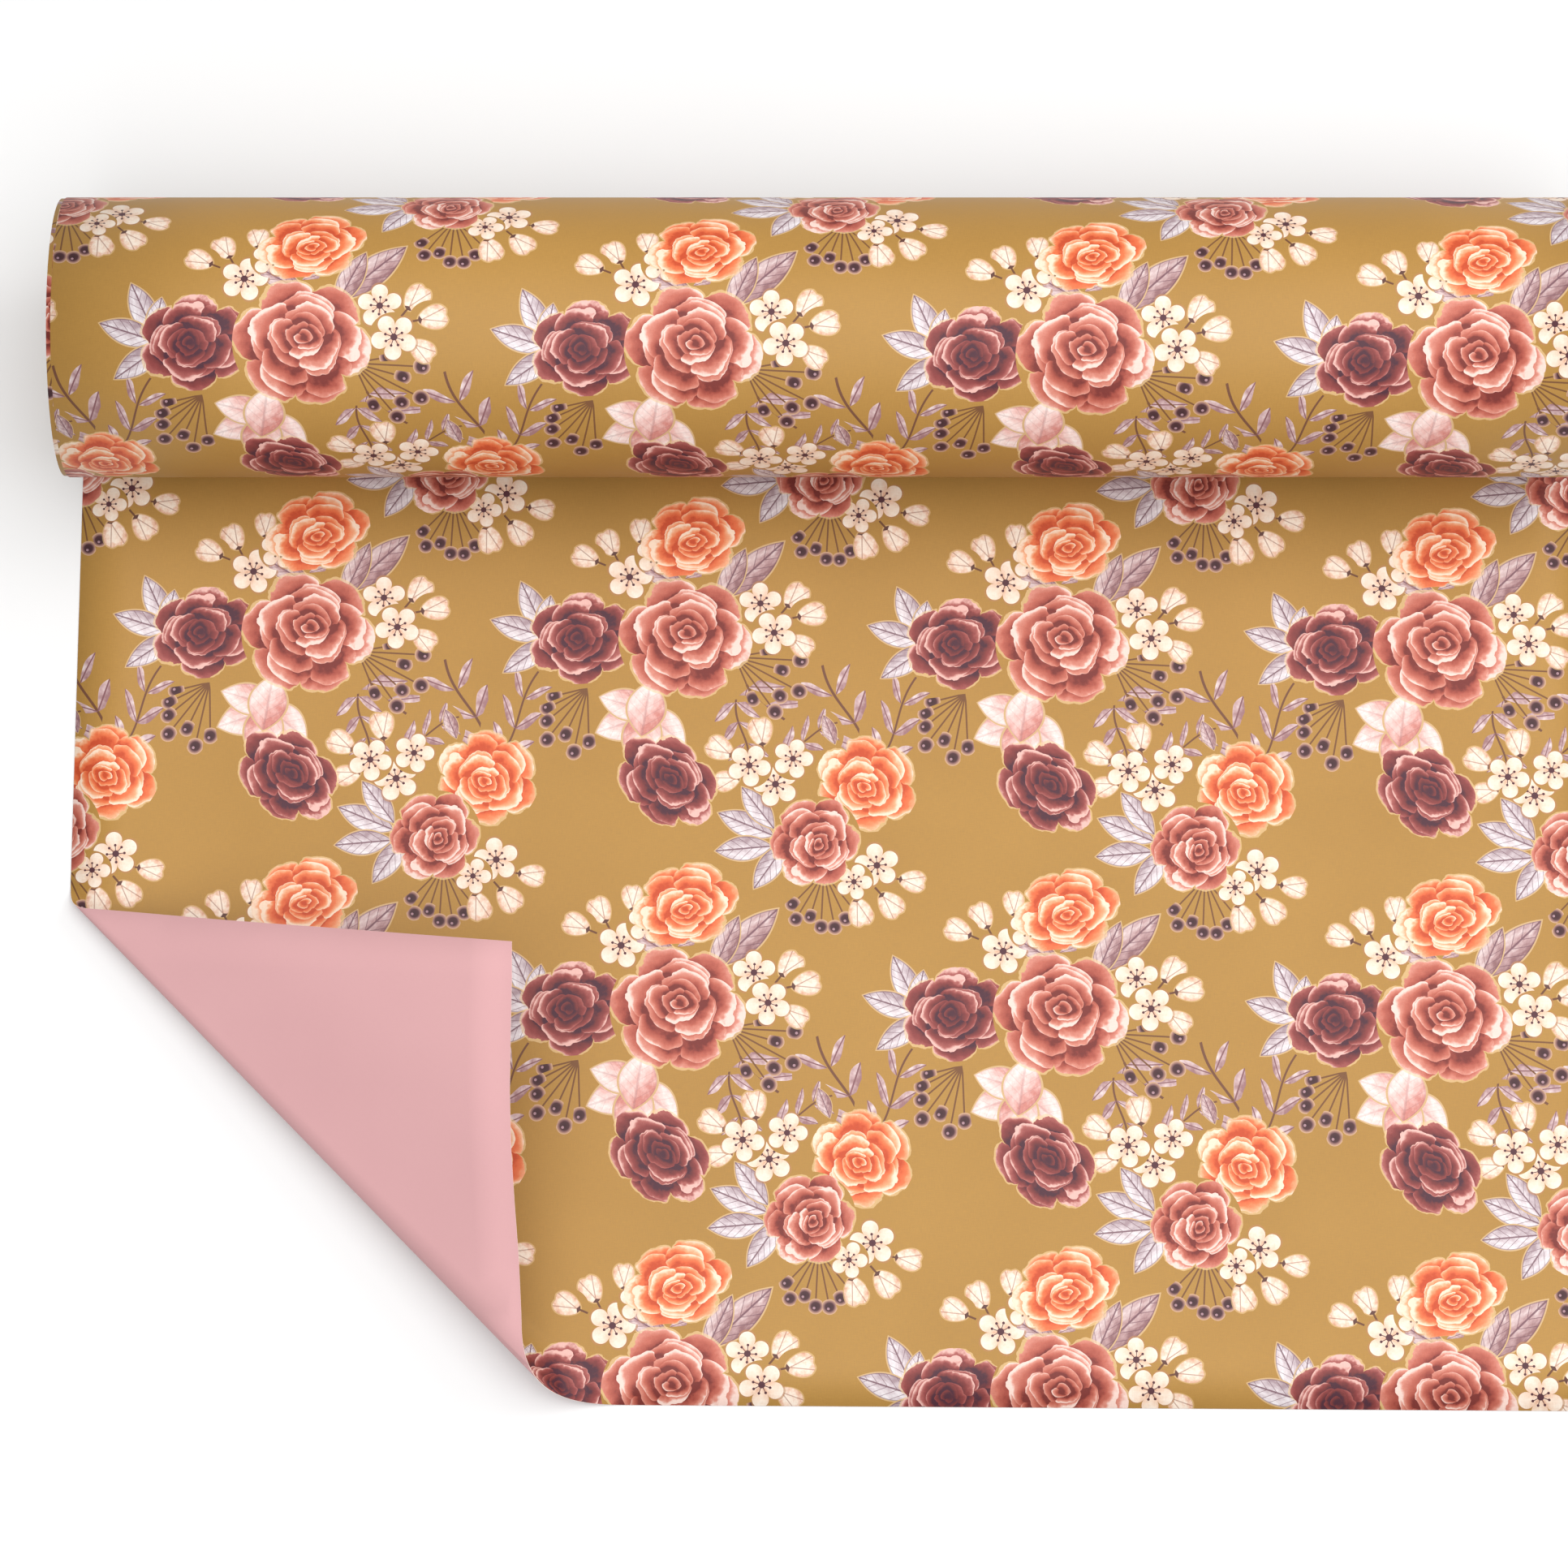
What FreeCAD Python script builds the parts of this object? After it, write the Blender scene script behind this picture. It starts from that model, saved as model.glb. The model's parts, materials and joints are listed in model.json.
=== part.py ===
import FreeCAD, Part

import math
import os

# A roll of gift-wrapping paper lying on its own free sheet. The web is wound print side out on a
# spiral board core. It leaves the roll under its rear, turns back on itself and runs forward flat
# on the table, print side up, to its cut edge, where the left corner is folded over.
# Frame, in millimetres: X along the roll, -Y towards the cut edge, Z up. The origin is on the table,
# straight below the middle of the roll's axis.

# --- driving dimensions --------------------------------------------------------------------------

paper_width = 700.0          # width of the web
paper_thickness = 0.3        # of the loose paper as a solid; the real paper is about a third of it
roll_diameter = 128.0        # over the outer wrap
outer_wrap_depth = 0.6       # radial build of the last few turns, which lie a little to one side
earlier_wraps_shift = -2.2   # how far the earlier turns have moved along X past the last ones

core_bore = 50.0             # inside diameter of the board core
core_overhang = 0.0          # how far the core stands past the web at each end
liner_thickness = 0.4        # innermost kraft ply
board_ply_thickness = 0.84
board_ply_count = 5
outer_ply_thickness = 0.4    # smooth outermost ply
start_tape_width = 25.0      # tape that holds the start of the web on the core
start_tape_thickness = 0.15
start_tape_margin = 10.0     # bare web at each end of the tape

free_length = 484.5          # from below the roll's axis to the cut edge, along the right edge
cut_out_of_square = 4.5      # how much shorter the sheet is along its left edge
corner_inset = 9.0           # how far the loose corner has drawn in from the web's left edge
turn_back_radius = 1.8       # of the fold behind the roll, at the middle of the paper
body_clearance = 0.3         # between the paper and what turns against it

# The corner is folded over as part of a cone that lies on the table along one of its lines.
# The cone's tip is off the sheet, past the left edge.
cone_tip_beside = 87.0       # from the left edge
cone_tip_behind = 319.0      # from the front left corner, towards the roll
cone_heading_deg = -43.0     # direction of the line along which the cone touches the table
cone_half_angle_deg = 2.66   # between the cone's axis and its surface
fold_turn_deg = 150.8        # how far the paper goes round the cone before it runs straight
fold_stations = 13           # sections across the curved stretch

# --- sizes that follow from them -----------------------------------------------------------------

roll_radius = roll_diameter / 2
core_radius = core_bore / 2 + liner_thickness + board_ply_count * board_ply_thickness + outer_ply_thickness
wound_radius = roll_radius - outer_wrap_depth
axis_height = paper_thickness + body_clearance + roll_radius
half_width = paper_width / 2
core_length = paper_width + 2 * core_overhang
x_axis = FreeCAD.Vector(1, 0, 0)

# The line where the web leaves the roll, as an angle behind the roll's lowest line: there the paper,
# on its way round the turn-back, just clears the roll.
leaving_radius = roll_radius + body_clearance + paper_thickness / 2
leaving_angle = math.acos(
    (axis_height - paper_thickness / 2 - turn_back_radius) / (leaving_radius + turn_back_radius)
)
turn_back_y = (leaving_radius + turn_back_radius) * math.sin(leaving_angle)

os.makedirs("parts", exist_ok=True)


def save(name, shape):
    if not shape.isValid():
        raise ValueError(name + " is not a valid shape")
    shape.exportStep("parts/" + name + ".step")
    print(name, "volume", round(shape.Volume, 1), "solids", len(shape.Solids))


# --- core: kraft and board plies wound one over the other ----------------------------------------


def tube_along_x(inner_radius, outer_radius, length, middle_x=0.0):
    start = FreeCAD.Vector(middle_x - length / 2, 0, axis_height)
    outside = Part.makeCylinder(outer_radius, length, start, x_axis)
    inside = Part.makeCylinder(inner_radius, length, start, x_axis)
    return outside.cut(inside)


ply_names = ["core_inner_liner"]
ply_names += ["core_board_ply_" + str(number + 1) for number in range(board_ply_count)]
ply_names += ["core_outer_ply"]
ply_thicknesses = [liner_thickness] + [board_ply_thickness] * board_ply_count + [outer_ply_thickness]

ply_radius = core_bore / 2
for ply_name, ply_thickness in zip(ply_names, ply_thicknesses):
    save(ply_name, tube_along_x(ply_radius, ply_radius + ply_thickness, core_length))
    ply_radius += ply_thickness

# --- start tape: holds the first edge of the web to the core -------------------------------------

tape_length = min(core_length, paper_width) - 2 * start_tape_margin
tape_angle = math.degrees(start_tape_width / core_radius)
tape_start = FreeCAD.Vector(-tape_length / 2, 0, axis_height)
tape_block = Part.makeCylinder(
    core_radius + start_tape_thickness, tape_length, tape_start, x_axis, tape_angle
)
tape_inside = Part.makeCylinder(core_radius, tape_length, tape_start, x_axis)
start_tape = tape_block.cut(tape_inside)
save("start_tape", start_tape)

# --- wound web: the earlier turns and the last turns ---------------------------------------------

wound_web = tube_along_x(core_radius, wound_radius, paper_width, earlier_wraps_shift)
save("wound_web", wound_web.cut(tape_block))
save("outer_wrap", tube_along_x(wound_radius, roll_radius, paper_width))

# --- turned-back web: leaves the roll, turns back and runs forward under it ------------------------


def point_round(centre_y, centre_z, radius, angle, x):
    """A point of a circle across the roll, at an angle from straight down, positive to the rear."""
    return FreeCAD.Vector(x, centre_y + radius * math.sin(angle), centre_z - radius * math.cos(angle))


def turned_back_web():
    """Half a turn and more round a line behind the roll, from the table to where the web leaves it."""
    centre_z = paper_thickness / 2 + turn_back_radius
    last_angle = math.pi + leaving_angle
    edges = []
    for side in (-1, 1):
        radius = turn_back_radius + side * paper_thickness / 2
        ends = [
            point_round(turn_back_y, centre_z, radius, share * last_angle, -half_width)
            for share in (0.0, 0.5, 1.0)
        ]
        edges.append(Part.Arc(*ends).toShape())
    first_points = [edge.valueAt(edge.FirstParameter) for edge in edges]
    last_points = [edge.valueAt(edge.LastParameter) for edge in edges]
    closing = [Part.makeLine(*first_points), Part.makeLine(*last_points)]
    section = Part.Face(Part.Wire(Part.__sortEdges__(edges + closing)))
    return section.extrude(FreeCAD.Vector(paper_width, 0, 0))


save("turned_back_web", turned_back_web())

# --- folded corner: where the sheet lifts, the curl and the flap ---------------------------------

up = FreeCAD.Vector(0, 0, 1)
rear_left = FreeCAD.Vector(-half_width, turn_back_y, 0)
rear_right = FreeCAD.Vector(half_width, turn_back_y, 0)
front_left = FreeCAD.Vector(-half_width, cut_out_of_square - free_length, 0)
front_right = FreeCAD.Vector(half_width, -free_length, 0)
cone_tip = front_left + FreeCAD.Vector(-cone_tip_beside, cone_tip_behind, 0)
cone_heading = math.radians(cone_heading_deg)
cone_half_angle = math.radians(cone_half_angle_deg)
touch_line = FreeCAD.Vector(math.cos(cone_heading), math.sin(cone_heading), 0)
outward = touch_line.cross(up)
cone_axis = touch_line * math.cos(cone_half_angle) + up * math.sin(cone_half_angle)
cone_down = touch_line * math.sin(cone_half_angle) - up * math.cos(cone_half_angle)
fold_turn = math.radians(fold_turn_deg)


def meeting(first, second, third, fourth):
    """Where the line through two points of the table meets the line through two others."""
    along = second - first
    other = fourth - third
    share = (third - first).cross(other).z / along.cross(other).z
    return first + along * share


# Where the line at which the sheet lifts crosses its two edges, and where its corner is when flat.
left_lift = meeting(rear_left, front_left, cone_tip, cone_tip + touch_line)
cut_lift = meeting(front_left, front_right, cone_tip, cone_tip + touch_line)
inset_share = corner_inset / paper_width
loose_corner = front_left * (1 - inset_share) + front_right * inset_share


def reach(flat_angle, edge_start):
    """From the cone's tip to an edge of the flat sheet, along a line turned outward from the touch line."""
    line = touch_line * math.cos(flat_angle) + outward * math.sin(flat_angle)
    return meeting(cone_tip, cone_tip + line, edge_start, loose_corner).distanceToPoint(cone_tip)


def line_round_cone(turn):
    """The direction from the cone's tip along its surface, at an angle round its axis, and the way out."""
    way_out = cone_down * math.cos(turn) + outward * math.sin(turn)
    surface_line = cone_axis * math.cos(cone_half_angle) + way_out * math.sin(cone_half_angle)
    normal = way_out * math.cos(cone_half_angle) - cone_axis * math.sin(cone_half_angle)
    return surface_line, normal


def closed_wire(points):
    return Part.makePolygon(points + points[:1])


def corner_curl():
    """The stretch that goes round the cone, lofted through its straight lines from edge to edge."""
    sections = []
    for station in range(fold_stations):
        turn = fold_turn * station / (fold_stations - 1)
        flat_angle = turn * math.sin(cone_half_angle)
        surface_line, normal = line_round_cone(turn)
        outer_ends = [
            cone_tip + surface_line * reach(flat_angle, edge_start) for edge_start in (left_lift, cut_lift)
        ]
        inner_ends = [end - normal * paper_thickness for end in reversed(outer_ends)]
        sections.append(closed_wire(outer_ends + inner_ends))
    return Part.makeLoft(sections, True, False)


def corner_flap():
    """The triangle past the curl, flat, set out from it by the clearance so that it can turn back."""
    surface_line, normal = line_round_cone(fold_turn)
    across = normal.cross(surface_line)
    flat_angle = fold_turn * math.sin(cone_half_angle)
    corner_angle = touch_line.getAngle(loose_corner - cone_tip) - flat_angle
    corner_line = surface_line * math.cos(corner_angle) + across * math.sin(corner_angle)
    outline = [
        surface_line * reach(flat_angle, left_lift),
        surface_line * reach(flat_angle, cut_lift),
        corner_line * loose_corner.distanceToPoint(cone_tip),
    ]
    face = Part.Face(closed_wire([cone_tip + place + normal * body_clearance for place in outline]))
    return face.extrude(normal * paper_thickness)


def free_sheet():
    """The flat web, from the turn-back to the cut edge, less the corner that lifts off the table."""
    face = Part.Face(closed_wire([rear_left, left_lift, cut_lift, front_right, rear_right]))
    return face.extrude(up * paper_thickness)


save("free_sheet", free_sheet())
save("corner_curl", corner_curl())
save("corner_flap", corner_flap())

print("axis height", axis_height, "web leaves the roll at", round(math.degrees(leaving_angle), 2), "deg")
print("fold axis through", tuple(cone_tip), "along", [round(part, 5) for part in cone_axis])
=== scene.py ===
import json
import math
import random

import bmesh
import bpy
import numpy as np
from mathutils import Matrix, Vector


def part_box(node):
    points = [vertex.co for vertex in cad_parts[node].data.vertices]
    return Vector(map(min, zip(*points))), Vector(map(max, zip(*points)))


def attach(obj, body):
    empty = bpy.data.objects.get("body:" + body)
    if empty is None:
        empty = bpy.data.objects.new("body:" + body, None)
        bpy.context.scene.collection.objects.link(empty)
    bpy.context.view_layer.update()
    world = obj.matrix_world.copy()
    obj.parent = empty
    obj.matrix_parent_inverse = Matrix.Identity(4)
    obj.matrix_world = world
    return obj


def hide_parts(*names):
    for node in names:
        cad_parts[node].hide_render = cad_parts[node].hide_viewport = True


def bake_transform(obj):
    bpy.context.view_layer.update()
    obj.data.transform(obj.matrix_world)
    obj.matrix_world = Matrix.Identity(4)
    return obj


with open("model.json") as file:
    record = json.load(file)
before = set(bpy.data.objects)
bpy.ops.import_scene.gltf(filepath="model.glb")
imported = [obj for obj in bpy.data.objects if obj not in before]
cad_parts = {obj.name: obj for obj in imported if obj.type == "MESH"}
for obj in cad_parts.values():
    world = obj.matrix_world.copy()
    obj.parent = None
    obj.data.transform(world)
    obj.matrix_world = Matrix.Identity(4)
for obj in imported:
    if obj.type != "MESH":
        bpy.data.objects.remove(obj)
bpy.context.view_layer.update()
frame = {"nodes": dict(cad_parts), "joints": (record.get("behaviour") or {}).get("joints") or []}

# --- viewpoint and studio -------------------------------------------------------------------------
# The roll lies on a plain pale table, seen from above and a little in front. A wide soft light hangs
# overhead, a little towards the viewer, and a weaker one stands at the right, further back.

scene = bpy.context.scene
camera_lens = bpy.data.cameras.new("camera")
camera_lens.sensor_width = 36.0
camera_lens.lens = 127.64
camera_lens.clip_end = 60.0
camera = bpy.data.objects.new("camera", camera_lens)
scene.collection.objects.link(camera)
camera.location = (-0.0225, -0.7927, 2.4931)
camera.rotation_euler = (math.radians(13.486), 0.0, 0.0)
scene.camera = camera
scene.view_settings.view_transform = "Standard"

room = bpy.data.worlds.new("room")
room.use_nodes = True
room.node_tree.nodes["Background"].inputs["Color"].default_value = (1.0, 1.0, 1.0, 1.0)
room.node_tree.nodes["Background"].inputs["Strength"].default_value = 0.5
scene.world = room

for lamp_name, lamp_place, lamp_side, lamp_power in (
    ("overhead_softbox", (0.25, -0.45, 2.85), 4.2, 137.5),
    ("side_softbox", (2.2, 0.9, 1.9), 1.2, 18.0),
):
    lamp = bpy.data.lights.new(lamp_name, "AREA")
    lamp.size = lamp_side
    lamp.energy = lamp_power
    lamp_stand = bpy.data.objects.new(lamp_name, lamp)
    lamp_stand.location = lamp_place
    lamp_stand.rotation_euler = (-Vector(lamp_place)).to_track_quat("-Z", "Y").to_euler()
    scene.collection.objects.link(lamp_stand)


def fill(tree, made, values):
    """Fills a node's inputs in order: a socket is joined on, a number or colour is set, None is left."""
    for socket, value in zip(made.inputs, values):
        if isinstance(value, bpy.types.NodeSocket):
            tree.links.new(value, socket)
        elif value is not None:
            socket.default_value = value
    return made


def add(tree, kind, *values, **traits):
    """A new node with its traits and inputs set; gives its first output."""
    made = tree.nodes.new(kind)
    for trait, setting in traits.items():
        setattr(made, trait, setting)
    return fill(tree, made, values).outputs[0]


def mix(tree, sort, share, below, above):
    """below where share is 0 and above where it is 1; sort is FLOAT, VECTOR or RGBA."""
    made = tree.nodes.new("ShaderNodeMix")
    made.data_type = sort
    first = {"FLOAT": 2, "VECTOR": 4, "RGBA": 6}[sort]
    for number, value in ((0, share), (first, below), (first + 1, above)):
        if isinstance(value, bpy.types.NodeSocket):
            tree.links.new(value, made.inputs[number])
        else:
            made.inputs[number].default_value = value
    return made.outputs[{"FLOAT": 0, "VECTOR": 1, "RGBA": 2}[sort]]


def noise(tree, place, scale, detail=2.0, roughness=0.5):
    """Soft random patches that change with the place, from 0 to 1."""
    made = tree.nodes.new("ShaderNodeTexNoise")
    tree.links.new(place, made.inputs["Vector"])
    made.inputs["Scale"].default_value = scale
    made.inputs["Detail"].default_value = detail
    made.inputs["Roughness"].default_value = roughness
    return made.outputs[0]


def new_finish(name, roughness):
    """A material with a Principled BSDF; gives the material, its tree and the shader."""
    finish = bpy.data.materials.new(name)
    finish.use_nodes = True
    shader = finish.node_tree.nodes["Principled BSDF"]
    shader.inputs["Roughness"].default_value = roughness
    return finish, finish.node_tree, shader


table_drop = 0.0002      # below the object's own z = 0, so that no face shares its plane
table_finish, tree, shader = new_finish("pale_table", 0.7)
place = add(tree, "ShaderNodeTexCoord").node.outputs["Object"]
tree.links.new(
    mix(tree, "RGBA", noise(tree, place, 3.0), (0.665, 0.665, 0.665, 1.0), (0.68, 0.68, 0.677, 1.0)),
    shader.inputs["Base Color"],
)
shader.inputs["Specular IOR Level"].default_value = 0.1
table_mesh = bmesh.new()
bmesh.ops.create_grid(table_mesh, x_segments=4, y_segments=4, size=9.0)
table_data = bpy.data.meshes.new("table")
table_mesh.to_mesh(table_data)
table_data.materials.append(table_finish)
table = bpy.data.objects.new("table", table_data)
table.location = (0.0, 0.0, -table_drop)
scene.collection.objects.link(table)

# --- core -----------------------------------------------------------------------------------------
# A tube of grey board plies wound on a slant and glued one over the other, between a kraft liner and
# a smooth kraft outer ply. Its cut ends show the plies, and its bore the liner's slanting seam.

axis_height = sum(corner[2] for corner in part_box("core_inner_liner")) / 2


def effect(name, takes, gives):
    """An empty node group with named inputs and outputs; gives its tree, its entry and its exit."""
    group = bpy.data.node_groups.new(name, "ShaderNodeTree")
    kinds = {"f": "NodeSocketFloat", "v": "NodeSocketVector", "c": "NodeSocketColor"}
    for way, sockets in (("INPUT", takes), ("OUTPUT", gives)):
        for socket_name, kind in sockets.items():
            group.interface.new_socket(socket_name, in_out=way, socket_type=kinds[kind])
    entry = group.nodes.new("NodeGroupInput")
    return group, entry.outputs, group.nodes.new("NodeGroupOutput").inputs


def use(tree, group, *values):
    """Places a node group and fills its inputs in order; gives its outputs."""
    made = tree.nodes.new("ShaderNodeGroup")
    made.node_tree = group
    return fill(tree, made, values).outputs


def calc(tree, operation, *values):
    """One step of arithmetic on numbers."""
    return add(tree, "ShaderNodeMath", *values, operation=operation)


def calc_vector(tree, operation, *values):
    """One step of arithmetic on places or directions; gives a number for a length."""
    first = add(tree, "ShaderNodeVectorMath", *values, operation=operation)
    return first.node.outputs["Value"] if operation == "LENGTH" else first


def tint(red, green, blue):
    """A colour given on the usual 0 to 255 scale, as the shader takes it."""
    levels = [channel / 255 for channel in (red, green, blue)]
    return tuple(v / 12.92 if v < 0.04045 else ((v + 0.055) / 1.055) ** 2.4 for v in levels) + (1.0,)


def relief(tree, shader, height, strength, distance):
    """Joins a height to the shader's normal."""
    bump = tree.nodes.new("ShaderNodeBump")
    bump.inputs["Strength"].default_value = strength
    bump.inputs["Distance"].default_value = distance
    tree.links.new(height, bump.inputs["Height"])
    tree.links.new(bump.outputs["Normal"], shader.inputs["Normal"])


# Round the roll: the distance from its axis and the angle round it, from the place in the frame.
round_roll, takes, gives = effect(
    "Round the roll", {"Place": "v"}, {"Radius": "f", "Angle": "f", "Along": "f"}
)
parts = add(round_roll, "ShaderNodeSeparateXYZ", takes["Place"]).node.outputs
height = calc(round_roll, "SUBTRACT", parts["Z"], axis_height)
across = add(round_roll, "ShaderNodeCombineXYZ", parts["Y"], height)
round_roll.links.new(calc_vector(round_roll, "LENGTH", across), gives["Radius"])
round_roll.links.new(calc(round_roll, "ARCTAN2", parts["Y"], height), gives["Angle"])
round_roll.links.new(parts["X"], gives["Along"])

# Board grain: long soft fibres with darker recycled flecks.
board_grain, takes, gives = effect(
    "Board grain", {"Place": "v", "Pale": "c", "Dark": "c", "Flecks": "f"}, {"Colour": "c", "Height": "f"}
)
drawn_out = calc_vector(board_grain, "MULTIPLY", takes["Place"], (60.0, 900.0, 900.0))
fibre = noise(board_grain, drawn_out, 1.0, 4.0)
cloud = noise(board_grain, takes["Place"], 220.0, 3.0)
tone = calc(board_grain, "MULTIPLY_ADD", cloud, 0.5, calc(board_grain, "MULTIPLY", fibre, 0.5))
ground = mix(board_grain, "RGBA", tone, takes["Dark"], takes["Pale"])
fleck = calc(board_grain, "GREATER_THAN", noise(board_grain, takes["Place"], 1600.0, 0.0), 0.68)
board_grain.links.new(
    mix(board_grain, "RGBA", calc(board_grain, "MULTIPLY", fleck, takes["Flecks"]), ground, takes["Dark"]),
    gives["Colour"],
)
board_grain.links.new(tone, gives["Height"])

liner_pitch = 0.105
for core_finish, core_nodes, pale, dark, flecks, seam_turn in (
    ("kraft_liner", ["core_inner_liner"], tint(196, 158, 112), tint(158, 120, 80), 0.15, 0.0),
    ("kraft_outer", ["core_outer_ply"], tint(205, 168, 122), tint(170, 132, 90), 0.1, 0.5),
    ("board_odd", ["core_board_ply_1", "core_board_ply_3", "core_board_ply_5"],
     tint(176, 160, 138), tint(132, 116, 96), 0.6, 0.25),
    ("board_even", ["core_board_ply_2", "core_board_ply_4"],
     tint(158, 143, 122), tint(116, 101, 83), 0.7, 0.75),
):
    finish, tree, shader = new_finish(core_finish, 0.86)
    place = add(tree, "ShaderNodeTexCoord").node.outputs["Object"]
    around = use(tree, round_roll, place)
    grain = use(tree, board_grain, place, pale, dark, flecks)
    slant = calc(tree, "MULTIPLY_ADD", around["Angle"], 1 / math.tau, seam_turn)
    turn = calc(tree, "FRACT", calc(tree, "MULTIPLY_ADD", around["Along"], 1 / liner_pitch, slant))
    seam = calc(tree, "LESS_THAN", turn, 0.008)
    lap = calc(tree, "SMOOTH_MIN", turn, 0.05, 0.02)
    colour = mix(tree, "RGBA", calc(tree, "MULTIPLY", seam, 0.6), grain["Colour"], dark)
    tree.links.new(colour, shader.inputs["Base Color"])
    relief(tree, shader, calc(tree, "MULTIPLY_ADD", lap, 6.0, grain["Height"]), 0.5, 0.0002)
    for node_name in core_nodes:
        ply = frame["nodes"][node_name]
        ply.data.materials.clear()
        ply.data.materials.append(finish)

# --- start tape -----------------------------------------------------------------------------------
# One length of clear matte tape that holds the first edge of the web to the core, along its length.
# It is rubbed down by hand, so its surface has faint creases and small trapped bubbles.

finish, tree, shader = new_finish("start_tape", 0.4)
place = add(tree, "ShaderNodeTexCoord").node.outputs["Object"]
crease = noise(tree, calc_vector(tree, "MULTIPLY", place, (40.0, 260.0, 260.0)), 1.0, 3.0)
bubble = calc(tree, "GREATER_THAN", noise(tree, place, 420.0, 1.0), 0.66)
tree.links.new(
    mix(tree, "RGBA", bubble, tint(214, 196, 160), tint(228, 214, 186)), shader.inputs["Base Color"]
)
tree.links.new(calc(tree, "MULTIPLY_ADD", crease, 0.3, 0.25), shader.inputs["Roughness"])
relief(tree, shader, calc(tree, "ADD", crease, bubble), 0.3, 0.0001)
tape = frame["nodes"]["start_tape"]
tape.data.materials.clear()
tape.data.materials.append(finish)

# --- printed paper --------------------------------------------------------------------------------
# Satin paper about a tenth of a millimetre thick, printed on one side with bouquets of roses on ochre
# and on the other with a plain matte pink. The cut edges are bare, and show as a pale line.

repeat = 0.175           # the print's repeat along and across the web
print_turn = -0.9        # how far the print is out of square with the web, in degrees
print_start = (1.422, 0.953, 0.0)  # the print's own place, in repeats, at the middle of the cut edge

# A patch of the print: the same patch comes round in every repeat, and later ones lie on earlier ones.
patch, takes, gives = effect(
    "Patch of print",
    {"Point": "v", "Centre": "v", "Size": "v", "Turn": "f", "Kind": "f", "Pointed": "f",
     "Under Point": "v", "Under Kind": "f"},
    {"Point": "v", "Kind": "f"},
)
local = calc_vector(patch, "WRAP", calc_vector(patch, "SUBTRACT", takes["Point"], takes["Centre"]),
                    (0.5, 0.5, 0.5), (-0.5, -0.5, -0.5))
local = add(patch, "ShaderNodeVectorRotate", local, (0, 0, 0), (0, 0, 1), takes["Turn"],
            rotation_type="Z_AXIS", invert=True)
local = calc_vector(patch, "DIVIDE", local, takes["Size"])
parts = add(patch, "ShaderNodeSeparateXYZ", local).node.outputs
oval = calc_vector(patch, "LENGTH", local)
blade = calc(patch, "MULTIPLY_ADD", parts["X"], parts["X"], calc(patch, "ABSOLUTE", parts["Y"]))
inside = calc(patch, "LESS_THAN", mix(patch, "FLOAT", takes["Pointed"], oval, blade), 1.0)
patch.links.new(mix(patch, "VECTOR", inside, takes["Under Point"], local), gives["Point"])
patch.links.new(mix(patch, "FLOAT", inside, takes["Under Kind"], takes["Kind"]), gives["Kind"])


def lay_out(tree, point, places, pointed=0.0):
    """Places are centre, half size along and across, turn in degrees and kind, in repeats of the print."""
    outputs = None
    for centre, half_size, turn, kind in places:
        under = (outputs["Point"], outputs["Kind"]) if outputs else ((9.0, 9.0, 0.0), 0.0)
        outputs = use(tree, patch, point, (*centre, 0.0), (*half_size, 1.0), math.radians(turn), kind,
                      pointed, *under)
    return outputs["Point"], outputs["Kind"]


# One round of petals: lobes with dark creases where each petal passes under the next, and a pale rim.
petals, takes, gives = effect(
    "Round of petals",
    {"Point": "v", "Centre": "v", "Radius": "f", "Petals": "f", "Turn": "f", "Depth": "f", "Under Tone": "f"},
    {"Tone": "f", "Reach": "f"},
)
local = calc_vector(petals, "SUBTRACT", takes["Point"], takes["Centre"])
parts = add(petals, "ShaderNodeSeparateXYZ", local).node.outputs
share = calc(petals, "MULTIPLY_ADD", calc(petals, "ARCTAN2", parts["Y"], parts["X"]), 1 / math.tau,
             takes["Turn"])
share = calc(petals, "MULTIPLY", calc(petals, "FRACT", share), takes["Petals"])
chance = petals.nodes.new("ShaderNodeTexWhiteNoise")
chance.noise_dimensions = "1D"
petals.links.new(calc(petals, "MULTIPLY_ADD", takes["Radius"], 37.0, calc(petals, "FLOOR", share)),
                 chance.inputs["W"])
share = calc(petals, "FRACT", share)
lobe = calc(petals, "SQRT", calc(petals, "SINE", calc(petals, "MULTIPLY", share, math.pi)))
edge = calc(petals, "MULTIPLY", calc(petals, "MULTIPLY_ADD", lobe, 0.22, 0.78), takes["Radius"])
reach = calc(petals, "DIVIDE", calc_vector(petals, "LENGTH", local), edge)
petals.links.new(reach, gives["Reach"])
slope = calc(petals, "SUBTRACT", 1.0, calc(petals, "DIVIDE", calc(petals, "SUBTRACT", 1.0, reach),
                                          takes["Depth"]))
slope = calc(petals, "MAXIMUM", slope, 0.0)
crease = calc(petals, "POWER", share, 7.0)
tone = calc(petals, "MULTIPLY_ADD", crease, -0.5, calc(petals, "POWER", slope, 1.6))
tone = calc(petals, "MULTIPLY_ADD", chance.outputs["Value"], 0.36, calc(petals, "SUBTRACT", tone, 0.2))
tone = calc(petals, "MAXIMUM", tone, 0.02)
inside = calc(petals, "LESS_THAN", reach, 1.0)
petals.links.new(mix(petals, "FLOAT", inside, takes["Under Tone"], tone), gives["Tone"])


def ramp(tree, factor, *stops):
    """A run of colours; each stop is its place and its colour."""
    made = tree.nodes.new("ShaderNodeValToRGB")
    tree.links.new(factor, made.inputs[0])
    while len(made.color_ramp.elements) < len(stops):
        made.color_ramp.elements.new(0.5)
    for element, (position, colour) in zip(made.color_ramp.elements, stops):
        element.position = position
        element.color = colour
    return made.outputs[0]


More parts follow.
